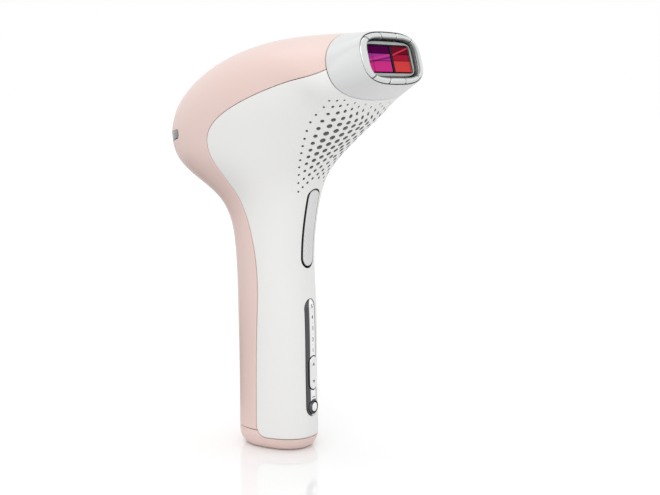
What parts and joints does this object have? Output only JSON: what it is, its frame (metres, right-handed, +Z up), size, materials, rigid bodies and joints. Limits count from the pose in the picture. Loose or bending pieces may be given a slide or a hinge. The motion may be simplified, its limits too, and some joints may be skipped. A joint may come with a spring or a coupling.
{
  "type": "ipl hair remover",
  "caption": "Cordless handheld light hair remover: slim handle with trigger and control strip, broad head, and a pull-off attachment with sprung pads round a filtered flash window.",
  "frame": {"origin": "centre of the flat foot of the handle", "axes": "+Z up along the handle, -Y towards the flash window, X across the handle"},
  "size_m": [0.0724, 0.1212, 0.1972],
  "materials": {
    "white_shell": "satin",
    "pink_shell": "satin",
    "white_attachment": "satin",
    "satin_pad": "satin",
    "grey_frame": "satin",
    "dark_rib": "matte",
    "violet_glass": "clear, tinted",
    "red_glass": "clear, tinted",
    "lamp_glass": "clear",
    "bright_metal": "polished",
    "mirror": "polished",
    "steel": "plain",
    "copper": "lacquered winding",
    "black_plastic": "matte",
    "dark_rubber": "matte",
    "grey_plastic": "matte",
    "smoked_lens": "smoked",
    "light_guide": "frosted",
    "board_green": "lacquered",
    "cell_sleeve": "shrink sleeve",
    "capacitor_sleeve": "shrink sleeve"
  },
  "bodies": {
    "handset": {"front_shell": "white_shell", "rear_shell": "pink_shell", "base_cap": "pink_shell", "charging_socket": "black_plastic", "charging_pin": "bright_metal", "ready_light_lens": "smoked_lens", "ready_light_board": "board_green", "control_panel": "bright_metal", "power_button_ring": "bright_metal", "flash_button_seal": "dark_rubber", "flash_button_pin": "steel", "control_board": "board_green", "up_switch": "black_plastic", "down_switch": "black_plastic", "power_switch": "black_plastic", "flash_switch": "black_plastic", "indicator_light_bar": "light_guide", "battery_cell_lower": "cell_sleeve", "battery_cell_upper": "cell_sleeve", "battery_cradle": "grey_plastic", "flash_capacitor_left": "capacitor_sleeve", "flash_capacitor_right": "capacitor_sleeve", "capacitor_bracket": "grey_plastic", "power_board": "board_green", "charging_transformer": "copper", "trigger_coil": "copper", "optical_head": "white_attachment", "head_frame": "grey_plastic", "housing_screw_1": "steel", "housing_screw_2": "steel", "housing_screw_3": "steel", "housing_screw_4": "steel", "contact_block": "black_plastic", "lamp_reflector": "mirror", "flash_lamp": "lamp_glass", "lamp_cap_left": "steel", "lamp_cap_right": "steel", "fan_housing": "black_plastic", "fan_stator": "black_plastic"},
    "attachment": {"attachment_housing": "white_attachment", "window_frame": "grey_frame", "filter_rib": "dark_rib", "filter_pane_left": "violet_glass", "filter_pane_right": "red_glass"},
    "pad_top_right": {"contact_pad_top_right": "satin_pad"},
    "pad_top_middle": {"contact_pad_top_middle": "satin_pad"},
    "pad_top_left": {"contact_pad_top_left": "satin_pad"},
    "pad_left": {"contact_pad_left": "satin_pad"},
    "pad_bottom_left": {"contact_pad_bottom_left": "satin_pad"},
    "pad_bottom_middle": {"contact_pad_bottom_middle": "satin_pad"},
    "pad_bottom_right": {"contact_pad_bottom_right": "satin_pad"},
    "pad_right": {"contact_pad_right": "satin_pad"},
    "flash_button": {"flash_button": "white_shell"},
    "intensity_rocker": {"intensity_rocker": "bright_metal"},
    "power_button": {"power_button": "bright_metal"},
    "fan_rotor": {"fan_rotor": "grey_plastic"}
  },
  "joints": [
    {"name": "attachment_pull_off", "type": "slide", "parent": "handset", "child": "attachment", "axis": [0, -0.9703, 0.2419], "range_m": [0, 0.04]},
    {"name": "pad_press_top_right", "type": "slide", "parent": "attachment", "child": "pad_top_right", "axis": [0, 0.9703, -0.2419], "range_m": [0, 0.0006], "stiffness_N_per_m": 400},
    {"name": "pad_press_top_middle", "type": "slide", "parent": "attachment", "child": "pad_top_middle", "axis": [0, 0.9703, -0.2419], "range_m": [0, 0.0006], "stiffness_N_per_m": 400},
    {"name": "pad_press_top_left", "type": "slide", "parent": "attachment", "child": "pad_top_left", "axis": [0, 0.9703, -0.2419], "range_m": [0, 0.0006], "stiffness_N_per_m": 400},
    {"name": "pad_press_left", "type": "slide", "parent": "attachment", "child": "pad_left", "axis": [0, 0.9703, -0.2419], "range_m": [0, 0.0006], "stiffness_N_per_m": 400},
    {"name": "pad_press_bottom_left", "type": "slide", "parent": "attachment", "child": "pad_bottom_left", "axis": [0, 0.9703, -0.2419], "range_m": [0, 0.0006], "stiffness_N_per_m": 400},
    {"name": "pad_press_bottom_middle", "type": "slide", "parent": "attachment", "child": "pad_bottom_middle", "axis": [0, 0.9703, -0.2419], "range_m": [0, 0.0006], "stiffness_N_per_m": 400},
    {"name": "pad_press_bottom_right", "type": "slide", "parent": "attachment", "child": "pad_bottom_right", "axis": [0, 0.9703, -0.2419], "range_m": [0, 0.0006], "stiffness_N_per_m": 400},
    {"name": "pad_press_right", "type": "slide", "parent": "attachment", "child": "pad_right", "axis": [0, 0.9703, -0.2419], "range_m": [0, 0.0006], "stiffness_N_per_m": 400},
    {"name": "flash_button_press", "type": "hinge", "parent": "handset", "child": "flash_button", "pos_m": [0, -0.0144, 0.121], "axis": [1, 0, 0], "range_deg": [0, 2], "stiffness_Nm_per_rad": 1.2},
    {"name": "intensity_rocker_tilt", "type": "hinge", "parent": "handset", "child": "intensity_rocker", "pos_m": [0, -0.017, 0.0372], "axis": [1, 0, 0], "range_deg": [-2.5, 2.5], "stiffness_Nm_per_rad": 0.3},
    {"name": "power_button_press", "type": "slide", "parent": "handset", "child": "power_button", "axis": [0, 1, 0], "range_m": [0, 0.0006], "stiffness_N_per_m": 600},
    {"name": "fan_spin", "type": "hinge", "parent": "handset", "child": "fan_rotor", "pos_m": [0, -0.02538, 0.17606], "axis": [0, -0.9703, 0.2419], "continuous": true}
  ]
}
